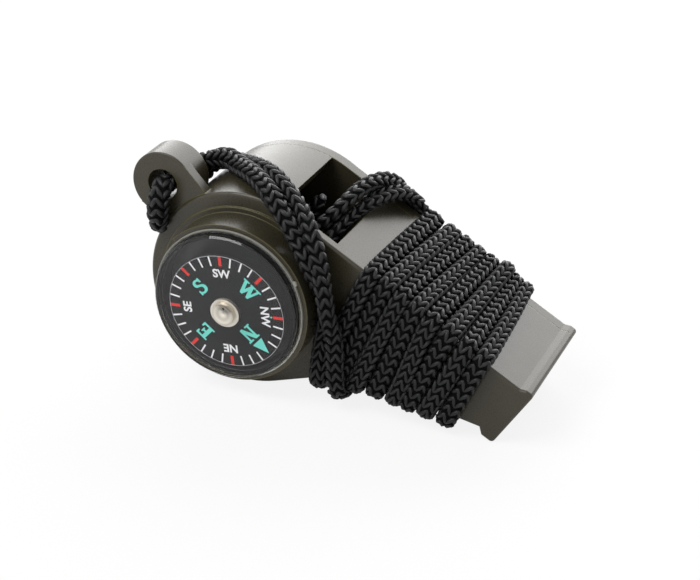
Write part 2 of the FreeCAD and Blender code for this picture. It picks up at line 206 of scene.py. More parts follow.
def ramp(tree, factor, low, high, dark, light):
    """Goes from one colour to another as the factor goes from low to high."""
    share = add(tree, "ShaderNodeMapRange", None, Value=factor, From_Min=low, From_Max=high).outputs["Result"]
    return add(tree, "ShaderNodeMix", {"data_type": "RGBA"}, Factor=share, _6=dark, _7=light).outputs[2]


def clear_for_lamps(tree, shader):
    """Glass that lets the lamps' light straight through, so that what is behind it is lit."""
    path = add(tree, "ShaderNodeLightPath")
    gap = add(tree, "ShaderNodeBsdfTransparent").outputs["BSDF"]
    return add(tree, "ShaderNodeMixShader", None, _0=path.outputs["Is Shadow Ray"], _1=shader, _2=gap).outputs["Shader"]


# ---------------------------------------------------------------- materials


def moulded_abs(name, body, edge, reach, rough):
    """ABS from a polished steel mould: a glossy skin with a faint waviness, softly rounded edges, and a painted
    highlight of lighter colour along them.
    """
    made, tree, where = material(name)
    # sink marks and flow of the moulding, 4 mm across, turn the reflections a little
    flow = add(tree, "ShaderNodeTexNoise", None, Vector=where, Scale=grains(4), Detail=2).outputs["Fac"]
    # handling marks, 0.15 mm apart, break up the gloss
    marks = add(
        tree, "ShaderNodeTexNoise", None, Vector=where, Scale=grains(0.154), Detail=3, Roughness=0.7).outputs["Fac"]
    soft = add(tree, "ShaderNodeBevel", {"samples": 6}, Radius=reach).outputs["Normal"]
    sharp = add(tree, "ShaderNodeNewGeometry").outputs["Normal"]
    same = add(tree, "ShaderNodeVectorMath", {"operation": "DOT_PRODUCT"}, _0=soft, _1=sharp).outputs["Value"]
    # painted highlight: the edge colour is mixed in where the rounded normal turns away from the face's own
    edge_highlight_mask = add(tree, "ShaderNodeMapRange", None, Value=same, From_Min=0.995, From_Max=0.80).outputs["Result"]
    skin = ramp(tree, flow, 0.3, 0.7, rgba([c * 0.93 for c in body]), rgba([c * 1.07 for c in body]))
    tint = add(tree, "ShaderNodeMix", {"data_type": "RGBA"}, Factor=edge_highlight_mask, _6=skin, _7=rgba(edge)).outputs[2]
    gloss = add(
        tree, "ShaderNodeMapRange", None, Value=marks, From_Min=0.3, From_Max=0.7, To_Min=rough * 0.8,
        To_Max=rough * 1.25).outputs["Result"]
    wave = add(
        tree, "ShaderNodeBump", None, Strength=0.06, Distance=0.3 * MM, Height=flow, Normal=soft).outputs["Normal"]
    tooth = add(
        tree, "ShaderNodeBump", None, Strength=0.04, Distance=0.02 * MM, Height=marks, Normal=wave).outputs["Normal"]
    shader = add(
        tree, "ShaderNodeBsdfPrincipled", None, Base_Color=tint, Roughness=gloss, IOR=1.54, Specular_IOR_Level=0.38,
        Normal=tooth)
    add(tree, "ShaderNodeOutputMaterial", Surface=shader.outputs["BSDF"])
    return made


def clear_acrylic(name):
    """Clear acrylic, moulded: one sharp gleam, as its inner face is wet with oil, and a frosted welding rim, pale
    partly as painted highlight.
    """
    made, tree, where = material(name)
    # hairlines 0.22 mm apart, drawn out one way by wiping, ripple the gleam
    drawn = add(
        tree, "ShaderNodeMapping", None, Vector=where, Scale=(grains(2), grains(2), grains(0.222))).outputs["Vector"]
    hair = add(tree, "ShaderNodeTexNoise", None, Vector=drawn, Scale=1, Detail=2).outputs["Fac"]
    soft = add(tree, "ShaderNodeBevel", {"samples": 6}, Radius=0.06 * MM).outputs["Normal"]
    wiped = add(
        tree, "ShaderNodeBump", None, Strength=0.01, Distance=0.02 * MM, Height=hair, Normal=soft).outputs["Normal"]
    outer = add(
        tree, "ShaderNodeBsdfPrincipled", None, Base_Color=(1, 1, 1, 1), Roughness=0.0, IOR=1.49,
        Transmission_Weight=1.0, Normal=wiped).outputs["BSDF"]
    inner = add(tree, "ShaderNodeBsdfRefraction", None, Color=(1, 1, 1, 1), Roughness=0.0, IOR=1.49).outputs["BSDF"]
    leaving = add(tree, "ShaderNodeNewGeometry").outputs["Backfacing"]
    clear = add(tree, "ShaderNodeMixShader", None, _0=leaving, _1=outer, _2=inner).outputs["Shader"]
    # the flange outside 10.1 mm from the capsule's axis is roughened where it was welded on; its pale diffuse colour is
    # also a painted highlight along the rim
    spread = add(tree, "ShaderNodeVectorMath", {"operation": "SUBTRACT"}, _0=where, _1=BARREL_AXIS).outputs["Vector"]
    flat = add(tree, "ShaderNodeVectorMath", {"operation": "MULTIPLY"}, _0=spread, _1=(1, 0, 1)).outputs["Vector"]
    out = add(tree, "ShaderNodeVectorMath", {"operation": "LENGTH"}, _0=flat).outputs["Value"]
    rim = add(
        tree, "ShaderNodeMapRange", None, Value=out, From_Min=10.1 * MM, From_Max=10.4 * MM, To_Max=0.6
    ).outputs["Result"]
    frost_and_highlight = add(tree, "ShaderNodeBsdfDiffuse", None, Color=rgba(linear("#c9c8c0"))).outputs["BSDF"]
    shader = add(tree, "ShaderNodeMixShader", None, _0=rim, _1=clear, _2=frost_and_highlight).outputs["Shader"]
    add(tree, "ShaderNodeOutputMaterial", Surface=clear_for_lamps(tree, shader))
    return made


def clear_oil(name):
    """Damping oil, clear, with no gleam of its own against the acrylic.

    It bends light less than real oil does, so that the bearing's cap stands out as it is seen to.
    """
    made, tree, _ = material(name)
    shader = add(tree, "ShaderNodeBsdfRefraction", None, Color=(1, 1, 1, 1), Roughness=0.0, IOR=1.12).outputs["BSDF"]
    add(tree, "ShaderNodeOutputMaterial", Surface=clear_for_lamps(tree, shader))
    return made


def nickel_plate(name):
    """Nickel-plated brass turned on a lathe: pale warm metal with fine rings round the card's axis."""
    made, tree, where = material(name)
    turned = add(tree, "ShaderNodeMapping", None, Vector=where, Location=-CARD_CENTRE).outputs["Vector"]
    # turning marks 0.75 mm apart, coarser than the real ones so that they show
    rings = add(
        tree, "ShaderNodeTexWave", {"wave_type": "RINGS", "rings_direction": "Y"}, Vector=turned, Scale=waves(0.748),
        Distortion=0.6, Detail=1).outputs["Fac"]
    tint = ramp(tree, rings, 0, 1, rgba(linear("#cfc8bb")), rgba(linear("#ece6da")))
    rough = add(tree, "ShaderNodeMapRange", None, Value=rings, To_Min=0.36, To_Max=0.5).outputs["Result"]
    cut = add(tree, "ShaderNodeBump", None, Strength=0.15, Distance=0.02 * MM, Height=rings).outputs["Normal"]
    shader = add(
        tree, "ShaderNodeBsdfPrincipled", None, Base_Color=tint, Metallic=1.0, Roughness=rough, Normal=cut)
    add(tree, "ShaderNodeOutputMaterial", Surface=shader.outputs["BSDF"])
    return made


def matt_coat(name, tone, grain_mm, rough, spread=0.10, bump=0.1, gleam=0.5):
    """A matt surface with a fine grain, which takes the gleam off: ink, painted card, ferrite, cork or melted yarn."""
    made, tree, where = material(name)
    grain = add(
        tree, "ShaderNodeTexNoise", None, Vector=where, Scale=grains(grain_mm), Detail=4, Roughness=0.65
    ).outputs["Fac"]
    tint = ramp(
        tree, grain, 0.3, 0.7, rgba([c * (1 - spread) for c in tone]), rgba([min(1, c * (1 + spread)) for c in tone]))
    matt = add(
        tree, "ShaderNodeMapRange", None, Value=grain, From_Min=0.3, From_Max=0.7, To_Min=rough * 0.9,
        To_Max=min(1, rough * 1.1)).outputs["Result"]
    tooth = add(tree, "ShaderNodeBump", None, Strength=bump, Distance=0.03 * MM, Height=grain).outputs["Normal"]
    shader = add(
        tree, "ShaderNodeBsdfPrincipled", None, Base_Color=tint, Roughness=matt, IOR=1.5, Specular_IOR_Level=gleam,
        Normal=tooth)
    add(tree, "ShaderNodeOutputMaterial", Surface=shader.outputs["BSDF"])
    return made


def polyester_yarn(name, dark, light):
    """Textured polyester yarn, knitted: black filaments that lie along each stitch and shine where they bend."""
    made, tree, where = material(name)
    along = add(tree, "ShaderNodeUVMap", {"uv_map": "yarn"}).outputs["UV"]
    # about 12 visible filaments round a leg, drawn coarser than the real ones so that they show
    strands = add(
        tree, "ShaderNodeTexWave", {"bands_direction": "X"}, Vector=along, Scale=12.1 * math.tau / 20, Distortion=1.2,
        Detail=1).outputs["Fac"]
    # worn patches about a millimetre across
    patches = add(tree, "ShaderNodeTexNoise", None, Vector=where, Scale=grains(1.11), Detail=3).outputs["Fac"]
    mixed = add(tree, "ShaderNodeMath", {"operation": "MULTIPLY"}, _0=strands, _1=patches).outputs["Value"]
    tint = ramp(tree, mixed, 0.1, 0.6, rgba(dark), rgba(light))
    twist = add(tree, "ShaderNodeBump", None, Strength=0.35, Distance=0.05 * MM, Height=strands).outputs["Normal"]
    shader = add(
        tree, "ShaderNodeBsdfPrincipled", None, Base_Color=tint, Roughness=0.45, IOR=1.55, Specular_IOR_Level=0.3,
        Normal=twist)
    add(tree, "ShaderNodeOutputMaterial", Surface=shader.outputs["BSDF"])
    return made


# ---------------------------------------------------------------- lanyard route

# Control points of the route, level, in metres, as the CAD tubes have them
EAR_MIDDLE = (-0.0165, 0.0026, 0.0050)
EAR_BACK = (-0.0149, 0.0098, 0.0018)
EAR_LOOP = [
    (-0.0161, -0.0012, 0.0052), (-0.0144, -0.0014, 0.0016), (-0.0141, 0.0019, -0.0011), (-0.0144, 0.0066, -0.0014),
]
CROSS_A = [
    (-0.0146, 0.0118, 0.0052), (-0.0126, 0.0103, 0.0079), (-0.0093, 0.0073, 0.0115), (-0.0061, 0.0053, 0.0137),
    (-0.0029, 0.0028, 0.0147), (0.0003, 0.0005, 0.0149), (0.0032, -0.0015, 0.0145), (0.0058, -0.0028, 0.0132),
    (0.0083, -0.0037, 0.0110), (0.0110, -0.0040, 0.0078), (0.0139, -0.0024, 0.0038),
]
CROSS_B = [
    (-0.0154, 0.0086, 0.0056), (-0.0128, 0.0088, 0.0093), (-0.0101, 0.0064, 0.0107), (-0.0082, 0.0040, 0.0125),
    (-0.0057, 0.0017, 0.0138), (-0.0030, -0.0006, 0.0145), (-0.0004, -0.0018, 0.0140), (0.0021, -0.0025, 0.0132),
    (0.0048, -0.0031, 0.0118), (0.0070, -0.0030, 0.0103), (0.0092, -0.0015, 0.0083), (0.0113, -0.0014, 0.0050),
    (0.0130, -0.0013, 0.0006),
]
# The first half turn passes outside the later ones, under the throat
UNDER_A = [
    (0.0162, -0.0023, -0.0003), (0.0180, -0.0021, -0.0030), (0.0185, 0.0010, -0.0035), (0.0181, 0.0070, -0.0035),
    (0.0172, 0.0140, -0.0033), (0.0168, 0.0195, -0.0030), (0.0166, 0.0212, -0.0014), (0.0162, 0.0204, 0.0014),
]
UNDER_B = [
    (0.0149, -0.0016, -0.0036), (0.0154, 0.0008, -0.0046), (0.0154, 0.0070, -0.0045), (0.0148, 0.0140, -0.0045),
    (0.0143, 0.0193, -0.0042), (0.0139, 0.0205, -0.0024), (0.0136, 0.0202, 0.0010),
]
TUCK_A = [
    (0.0132, 0.0204, 0.0114), (0.0111, 0.0203, 0.0142), (0.0089, 0.0188, 0.0154), (0.0076, 0.0167, 0.0155),
    (0.0066, 0.0146, 0.0152), (0.0060, 0.0126, 0.0145), (0.00555, 0.0108, 0.0134), (0.00525, 0.0086, 0.0122),
    (0.0050, 0.0063, 0.0106), (0.0048, 0.0046, 0.0086), (0.0044, 0.0038, 0.0062),
]
TUCK_B = [
    (0.0133, 0.0204, 0.0079), (0.0106, 0.0204, 0.0110), (0.0083, 0.0206, 0.0143), (0.0065, 0.0187, 0.0157),
    (0.0053, 0.0167, 0.0161), (0.0045, 0.0143, 0.0161), (0.0040, 0.0123, 0.0156), (0.0038, 0.0104, 0.0150),
    (0.0036, 0.0088, 0.0139), (0.0034, 0.0076, 0.0127), (0.0031, 0.0066, 0.0112), (0.0026, 0.0050, 0.0090),
    (0.0018, 0.0040, 0.0064),
]
# The cut end of the second strand turns up again inside the window
END_B = [(0.0012, 0.0054, 0.0044), (0.0004, 0.0086, 0.0046), (0.0002, 0.0116, 0.0068), (0.0004, 0.0126, 0.0102)]
# Each way back to the window lies outside the turns on the far side
BACK_A = [(0.0312, 0.0190, 0.0026), (0.0302, 0.0212, 0.0034), (0.0262, 0.0216, 0.0060), (0.0196, 0.0217, 0.0092)]
BACK_B = [(0.0288, 0.0190, 0.0018), (0.0276, 0.0212, 0.0026), (0.0236, 0.0216, 0.0044), (0.0184, 0.0217, 0.0062)]

# The eight strands side by side: x at the far top edge, near top edge, near low edge and far low edge, in millimetres
STRANDS = [
    (13.6, 12.6, 14.4, 13.6),
    (16.7, 15.0, 16.9, 16.0),
    (19.0, 17.4, 19.2, 16.8),
    (21.1, 19.8, 21.7, 19.0),
    (23.2, 22.2, 24.2, 21.0),
    (25.5, 24.9, 26.2, 23.2),
    (27.4, 27.7, 28.5, 25.2),
    (29.2, 30.2, 31.1, 27.4),
]
# How far the first strands hang below the plastic at the near low edge, in millimetres
SAG = (0.6, 0.6, 0.5, 0, 0, 0, 0, 0)
# How far the sixth strand, pushed up by its neighbours, stands off the plastic at the far top edge
LIFT = (0, 0, 0, 0, 0, 0.7, 0, 0)
# The mouthpiece's width and height, and the slope under it: where it ends, and its rise for each millimetre
WIDTH = 19.2
TOP = 13.6
SLOPE_END = (35.0, 5.25)
SLOPE = 0.3385
THICK = 1.7  # how thick a wound strand is
CROWD = 0.13  # how much wider than its room a strand is, as it presses on its neighbours
OFF = 0.8  # how far a strand's middle lies off the plastic
CREST = 0.05  # how much farther off it lies between two corners
BULGE = 0.1  # how far it bulges at the sides and slips aside at a corner
EDGE = 1.9  # how far from a corner it begins to bend


def underside(x):
    """The height of a strand's middle under the mouthpiece."""
    return SLOPE_END[1] - SLOPE * (SLOPE_END[0] - x) - OFF - CREST


def room(number, column):
    """The width a strand has between its neighbours, at one of the four edges, and its thickness."""
    low, high = max(number - 1, 0), min(number + 1, len(STRANDS) - 1)
    return (STRANDS[high][column] - STRANDS[low][column]) / (high - low) + CROWD, THICK


def strand_turn(number, first=False, last=False):
    """One turn of a strand, from the far low edge up, over the top, down the near side and under to the next turn."""
    far, near, low, rise = STRANDS[number]
    at_far, at_near, at_low, at_rise = (room(number, column) for column in range(4))
    over, front, back = TOP + OFF, -OFF, WIDTH + OFF
    up = over + LIFT[number]
    foot = underside(rise)
    sole = underside(low) - SAG[number]
    points = []
    if not first:
        spots = [(rise, back - EDGE, foot), (rise, back, foot), (rise + 0.1 * (far - rise), back, foot + EDGE)]
        points += [(p, at_rise) for p in spots]
    points += [
        (((rise + far) / 2, back + BULGE, (foot + over) / 2), at_far),
        ((far, back, up - EDGE), at_far), ((far, back, up), at_far), ((far, back - EDGE, up), at_far),
        ((far + 0.35 * (near - far), WIDTH * 2 / 3, over + CREST), at_far),
        ((far + 0.7 * (near - far), WIDTH / 3, over + CREST), at_near),
        ((near, front + EDGE, over), at_near), ((near, front, over), at_near),
        ((near + BULGE, front, over - EDGE), at_near), (((near + low) / 2, front - BULGE, (over + sole) / 2), at_near),
        ((low - BULGE, front, sole + EDGE), at_low), ((low, front, sole), at_low), ((low, front + EDGE, sole), at_low),
    ]
    if not last:
        beyond = STRANDS[number + 2][3]
        for share in (0.33, 0.67):
            x = low + share * (beyond - low)
            points.append(((x, share * WIDTH, underside(x)), at_low))
    return [((x * MM, y * MM, z * MM), size) for (x, y, z), size in points]


def winding(first):
    """The four turns of one strand of the doubled cord."""
    points = []
    for number in range(first, len(STRANDS), 2):
        points += strand_turn(number, number < 2, number > 5)
    return points


def route():
    """Every control point of the cord, level, with its width and thickness there in millimetres.

    It starts at the second strand's cut end, passes through the ear and ends at the first strand's.
    """
    ear, bunch, across, wound, tuck = (2.9, 2.7), (2.7, 2.6), (2.4, 2.2), (2.45, 1.45), (2.6, 1.8)
    parts = [
        (END_B[::-1], tuck), (TUCK_B[::-1], tuck), (BACK_B[::-1], wound), (winding(0)[::-1], None),
        (UNDER_B[::-1], wound), (CROSS_B[:3:-1], across), (CROSS_B[3::-1], bunch),
        ([EAR_MIDDLE], ear), (EAR_LOOP, ear), ([EAR_BACK], ear),
        (CROSS_A, across), (UNDER_A, wound), (winding(1), None), (BACK_A, wound), (TUCK_A, tuck),
    ]
    return [(p, size) if size else p for points, size in parts for p in points]


def route_line(points):
    """The smooth line through the route, as points close together."""
    data = bpy.data.curves.new("lanyard_line", "CURVE")
    data.dimensions = "3D"
    data.resolution_u = 8
    spline = data.splines.new("NURBS")
    spline.points.add(len(points) - 1)
    for knot, p in zip(spline.points, points):
        knot.co = (*at_rest(*(v / MM for v in p)), 1)
    spline.order_u = 3
    spline.use_endpoint_u = True
    line = bpy.data.objects.new("lanyard_line", data)
    bpy.context.scene.collection.objects.link(line)
    bpy.context.view_layer.update()
    mesh = baked(line, "lanyard_line")
    found = np.array([v.co for v in mesh.vertices])
    bpy.data.meshes.remove(mesh)
    return found


def smoothed(values, spread):
    """A running mean over so many neighbours on each side."""
    padded = np.pad(values, ((spread, spread), (0, 0)), mode="edge")
    return sum(padded[i:i + len(values)] for i in range(2 * spread + 1)) / (2 * spread + 1)


INSET = 0.25  # how far the core lies inside the cord's own face
CORE_STEP = 0.7  # how long a row of the core's faces is
CORE_SIDES = 12
# Half the width, thickness and length of a melted tip, and how far it stands ahead of the cord's end
TIP = (0.85, 0.55, 0.35)
TIP_AHEAD = 0.4


class Lay:
    """Lays flat work along the lanyard's line: x is the way along, y the way round and z the height off the core."""

    def __init__(self, knots, inset):
        line = route_line([p for p, size in knots])
        self.line = line
        place = np.linspace(0, len(knots) - 1, len(line))
        sizes = np.array([size for p, size in knots])
        sizes = np.column_stack([np.interp(place, range(len(knots)), sizes[:, i]) for i in (0, 1)])
        self.half = smoothed(sizes, 20) * MM / 2 - inset
        ahead = np.gradient(line, axis=0)
        self.ahead = ahead / np.linalg.norm(ahead, axis=1)[:, None]
        self.down = self.facing(line)
        # measured on the outer side, so that the stitches there keep their length round the bends
        outer = line - self.down * self.half[:, 1:]
        self.along = np.concatenate([[0], np.cumsum(np.linalg.norm(np.diff(outer, axis=0), axis=1))])
        self.length = self.along[-1]

    def facing(self, line):
        """The way to the nearest plastic, square to the line, which the flat of the cord faces."""
        graph = bpy.context.evaluated_depsgraph_get()
        trees = [BVHTree.FromObject(NODES[n], graph) for n in ("whistle_body", "side_cover")]
        ways = []
        for p in line:
            hits = [tree.find_nearest(Vector(p)) for tree in trees]
            near = min(hits, key=lambda hit: hit[3])
            ways.append((near[0] - Vector(p)).normalized())
        ways = smoothed(np.array(ways), 5)
        ways -= self.ahead * np.sum(ways * self.ahead, axis=1)[:, None]
        ways = smoothed(ways / np.linalg.norm(ways, axis=1)[:, None], 2)
        ways -= self.ahead * np.sum(ways * self.ahead, axis=1)[:, None]
        return ways / np.linalg.norm(ways, axis=1)[:, None]

    def bend(self, mesh):
        """Moves the mesh's points from flat work to their places round the line."""
        flat = np.zeros(len(mesh.vertices) * 3)
        mesh.vertices.foreach_get("co", flat)
        flat = flat.reshape(-1, 3)
        s = np.clip(flat[:, 0], 0, self.length)

        def here(values):
            return np.column_stack([np.interp(s, self.along, values[:, i]) for i in range(values.shape[1])])

        middle, down, ahead, half = here(self.line), here(self.down), here(self.ahead), here(self.half)
        side = np.cross(ahead, down)
        # the cord twists a little this way and that along its length
        turn = flat[:, 1] + 0.25 * np.sin(s / (13 * MM)) + 0.15 * np.sin(s / (4.7 * MM) + 1)
        # keeps the stitches evenly spaced round a flattened cord
        flatness = (half[:, 0] - half[:, 1]) / (half[:, 0] + half[:, 1])
        turn = turn + 0.5 * flatness * np.sin(2 * turn)
        c, n = np.cos(turn), np.sin(turn)
        out = np.column_stack([c / half[:, 0], n / half[:, 1]])
        out /= np.linalg.norm(out, axis=1)[:, None]
        x = c * half[:, 0] + out[:, 0] * flat[:, 2]
        y = n * half[:, 1] + out[:, 1] * flat[:, 2]
        mesh.vertices.foreach_set("co", (middle + side * x[:, None] - down * y[:, None]).ravel())
        mesh.update()


def cord_core(lay):
    """The inside of the cord, darker than the yarn as painted shade: a sheet rolled into a tube and welded, with its
    ends closed.
    """
    bm = bmesh.new()
    rows = int(lay.length / (CORE_STEP * MM))
    bmesh.ops.create_grid(bm, x_segments=rows, y_segments=CORE_SIDES, size=0.5)
    bmesh.ops.translate(bm, vec=(0.5, 0.5, 0), verts=bm.verts)
    bmesh.ops.scale(bm, vec=(lay.length, math.tau, 1), verts=bm.verts)
    mesh = mesh_of(bm, "lanyard_core", True)
    lay.bend(mesh)
    bm = bmesh.new()
    bm.from_mesh(mesh)
    bmesh.ops.remove_doubles(bm, verts=bm.verts, dist=0.01 * MM)
    bmesh.ops.holes_fill(bm, edges=bm.edges, sides=0)
    bmesh.ops.recalc_face_normals(bm, faces=bm.faces)
    bm.to_mesh(mesh)
    bm.free()
    mesh.polygons.foreach_set("use_smooth", [True] * len(mesh.polygons))
    return mesh


def knitted_course(settings):
    """One course of the knit, flat: two legs a wale, each leaning out from the middle of its V."""
    bm = bmesh.new()
    bm.loops.layers.uv.new("yarn")
    wale = math.tau / settings.wales
    lean, dip = math.radians(27), math.radians(8)
    # the way round the cord is an angle, the rest are metres: a wale is drawn 1.35 mm wide and turned into its angle
    across = wale / 1.35
    leg_size = (0.88, settings.yarn / MM / 2, 0.33)
    for number in range(settings.wales):
        for hand in (-1, 1):
            place = (
                Matrix.Translation((0.55 * settings.pitch, wale * (number + 0.5 + 0.25 * hand), 0.02 * MM))
                @ Matrix.Diagonal((MM, across, MM, 1))
                @ Matrix.Rotation(hand * lean, 4, "Z") @ Matrix.Rotation(dip, 4, "Y")
                @ Matrix.Diagonal((*leg_size, 1)) @ Matrix.Rotation(math.pi / 2, 4, "Y")
            )
            leg = bmesh.ops.create_uvsphere(bm, u_segments=8, v_segments=6, radius=1, calc_uvs=True)["verts"]
            # blunt ends, so that legs meet in a rounded tip
            for v in leg:
                v.co.z = math.copysign(abs(v.co.z) ** 0.7, v.co.z)
            bmesh.ops.transform(bm, matrix=place, verts=leg)
    return mesh_of(bm, "knitted_course", True)


def knitted_cover(lay, settings, first, count, name):
    """A stretch of knit: one course repeated along the cord, then laid round it."""
    course = bpy.data.objects.new(name, knitted_course(settings))
    bpy.context.scene.collection.objects.link(course)
    rows = course.modifiers.new("courses", "ARRAY")
    rows.use_relative_offset = False
    rows.use_constant_offset = True
    rows.constant_offset_displace = (settings.pitch, 0, 0)
    rows.count = count
    mesh = baked(course, name)
    mesh.transform(Matrix.Translation((first * settings.pitch, 0, 0)))
    lay.bend(mesh)
    return mesh


def cut_end(lay, at_start):
    """The melted tip of the cord: a squashed bead with a drawn-out rim."""
    spot, ahead = (0, -lay.ahead[0]) if at_start else (-1, lay.ahead[-1])
    down = lay.down[spot]
    side = np.cross(ahead, down)
    turn = Matrix((side, down, ahead)).transposed().to_4x4()
    bm = bmesh.new()
    bmesh.ops.create_uvsphere(bm, u_segments=20, v_segments=12, radius=1)
    bmesh.ops.scale(bm, vec=[size * MM for size in TIP], verts=bm.verts)
    # five soft lobes round the bead, deeper at its free end
    for v in bm.verts:
        v.co *= 1 + 0.10 * math.sin(5 * math.atan2(v.co.y, v.co.x) + 1) * (1 if v.co.z > 0 else 0.4)
    place = Matrix.Translation(lay.line[spot] + ahead * TIP_AHEAD * MM)
    bmesh.ops.transform(bm, matrix=place @ turn, verts=bm.verts)
    return mesh_of(bm, "cut_end", True)


# ---------------------------------------------------------------- dial shapes

# Outlines of the main letters, one unit high, as bold letters with feet
LETTERS = {
    "N": [
        (-0.50, 0.50), (-0.14, 0.50), (0.22, -0.12), (0.22, 0.39), (0.06, 0.39), (0.06, 0.50), (0.50, 0.50),
        (0.50, 0.39), (0.36, 0.39), (0.36, -0.50), (0.16, -0.50), (-0.24, 0.20), (-0.24, -0.39), (-0.08, -0.39),
        (-0.08, -0.50), (-0.50, -0.50), (-0.50, -0.39), (-0.38, -0.39), (-0.38, 0.39), (-0.50, 0.39),
    ],
    "E": [
        (-0.42, 0.50), (0.40, 0.50), (0.40, 0.20), (0.30, 0.20), (0.26, 0.37), (-0.02, 0.37), (-0.02, 0.08),
        (0.12, 0.08), (0.14, 0.18), (0.22, 0.18), (0.22, -0.16), (0.14, -0.16), (0.12, -0.06), (-0.02, -0.06),
        (-0.02, -0.37), (0.28, -0.37), (0.33, -0.18), (0.43, -0.18), (0.43, -0.50), (-0.42, -0.50), (-0.42, -0.39),
        (-0.28, -0.39), (-0.28, 0.39), (-0.42, 0.39),
    ],
    "W": [
        (-0.68, 0.50), (-0.24, 0.50), (-0.24, 0.40), (-0.36, 0.40), (-0.21, -0.10), (-0.06, 0.40), (-0.14, 0.40),
        (-0.14, 0.50), (0.26, 0.50), (0.26, 0.40), (0.14, 0.40), (0.28, -0.10), (0.42, 0.40), (0.30, 0.40),
        (0.30, 0.50), (0.68, 0.50), (0.68, 0.40), (0.58, 0.40), (0.32, -0.50), (0.16, -0.50), (0.02, -0.02),
        (-0.14, -0.50), (-0.30, -0.50), (-0.58, 0.40), (-0.68, 0.40),
    ],
    "S": [
        (0.30, 0.50), (0.21, 0.50), (0.17, 0.45), (0.05, 0.50), (-0.08, 0.51), (-0.22, 0.47), (-0.31, 0.38),
        (-0.34, 0.26), (-0.31, 0.13), (-0.22, 0.05), (-0.05, -0.01), (0.08, -0.07), (0.13, -0.15), (0.13, -0.24),
        (0.08, -0.32), (-0.02, -0.37), (-0.13, -0.36), (-0.22, -0.30), (-0.27, -0.17), (-0.36, -0.17),
        (-0.36, -0.50), (-0.27, -0.50), (-0.24, -0.44), (-0.12, -0.50), (0.02, -0.51), (0.18, -0.48),
        (0.29, -0.40), (0.35, -0.28), (0.35, -0.14), (0.29, -0.02), (0.18, 0.06), (0.00, 0.13), (-0.09, 0.18),
        (-0.13, 0.25), (-0.11, 0.32), (-0.03, 0.37), (0.07, 0.36), (0.15, 0.30), (0.20, 0.18), (0.30, 0.18),
    ],
}
POINTER = [(-0.5, 0), (0, 1.12), (0.5, 0)]
# The points clockwise from north
POINTS = ["N", "NE", "E", "SE", "S", "SW", "W", "NW"]
# How far out each print stands on the card and how high it is, in millimetres
STAND = {"N": 4.1, "E": 4.8, "S": 4.6, "W": 5.0}
LETTER_HIGH = 2.15
POINTER_STAND, POINTER_HIGH = 5.55, 1.9
SMALL_STAND, SMALL_HIGH, SMALL_BOLD = 5.45, 1.62, 0.045
DOT_STAND, DOT_R = 6.35, 0.13
LINE_R, LINE_WIDTH = 8.0, 0.03


def card_place():
    """The card's own axes: x to the right, y up, z out of its printed face."""
    right = (Vector((1, 0, 0)) - CARD_AXIS * CARD_AXIS.x).normalized()
    up = right.cross(CARD_AXIS)
    turn = Matrix((right, up, -CARD_AXIS)).transposed().to_4x4()
    return Matrix.Translation(CARD_CENTRE) @ turn


def toward(settings, step):
    """Turns the card's up to a direction, counted in eighths of a turn clockwise from north."""
    return Matrix.Rotation(settings.north - math.pi / 2 - step * math.tau / 8, 4, "Z")


def raised(bm, faces, height):
    """Gives flat print its thickness."""
    out = bmesh.ops.extrude_face_region(bm, geom=faces)["geom"]
    bmesh.ops.translate(bm, vec=(0, 0, height), verts=[v for v in out if isinstance(v, bmesh.types.BMVert)])


def add_flat(bm, data, place, height):
    """Adds the filled shape of a curve or text, put in its place, with the ink's thickness."""
    shape = bpy.data.objects.new(data.name, data)
    bpy.context.scene.collection.objects.link(shape)
    bpy.context.view_layer.update()
    mesh = baked(shape, data.name)
    mesh.transform(place)
    before = set(bm.faces)
    bm.from_mesh(mesh)
    raised(bm, [f for f in bm.faces if f not in before], height)
    bpy.data.meshes.remove(mesh)


def print_mesh(bm, name):
    """Merges, turns outwards and puts print in its place on the card."""
    bmesh.ops.remove_doubles(bm, verts=bm.verts, dist=1e-7)
    bmesh.ops.recalc_face_normals(bm, faces=bm.faces)
    bmesh.ops.transform(bm, matrix=card_place(), verts=bm.verts)
    return mesh_of(bm, name)


def tick_marks(settings, steps, width, inner, outer, name):
    """A tick at each step, counted in eighths of a turn from north."""
    bm = bmesh.new()
    for step in steps:
        place = toward(settings, step) @ Matrix.Translation((0, (inner + outer) / 2, 0))
        stretch = Matrix.Diagonal((width, outer - inner, 1, 1))
        made = bmesh.ops.create_grid(bm, x_segments=1, y_segments=1, size=0.5, matrix=place @ stretch)
        raised(bm, list({f for v in made["verts"] for f in v.link_faces}), settings.print_height)
    return print_mesh(bm, name)


def letter_shapes(settings):
    """The four main letters, the pointer beyond north and the dot before the north-west tick."""
    bm = bmesh.new()
    shapes = [(POINTS.index(k), STAND[k], LETTER_HIGH, LETTERS[k]) for k in "NESW"]
    shapes.append((0, POINTER_STAND, POINTER_HIGH, POINTER))
    for step, out, high, outline in shapes:
        place = toward(settings, step) @ Matrix.Translation((0, out * MM, 0)) @ Matrix.Scale(high * MM, 4)
        data = bpy.data.curves.new("letter", "CURVE")
        data.dimensions, data.fill_mode = "2D", "BOTH"
        spline = data.splines.new("POLY")
        spline.points.add(len(outline) - 1)
        for knot, (x, y) in zip(spline.points, outline):
            knot.co = (x, y, 0, 1)
        spline.use_cyclic_u = True
        add_flat(bm, data, place, settings.print_height)
    spot = toward(settings, POINTS.index("NW")) @ Matrix.Translation((0, DOT_STAND * MM, 0))
    dot = bmesh.ops.create_circle(bm, cap_ends=True, segments=16, radius=DOT_R * MM, matrix=spot)["verts"]
    raised(bm, list({f for v in dot for f in v.link_faces}), settings.print_height)
    return print_mesh(bm, "dial_letters")


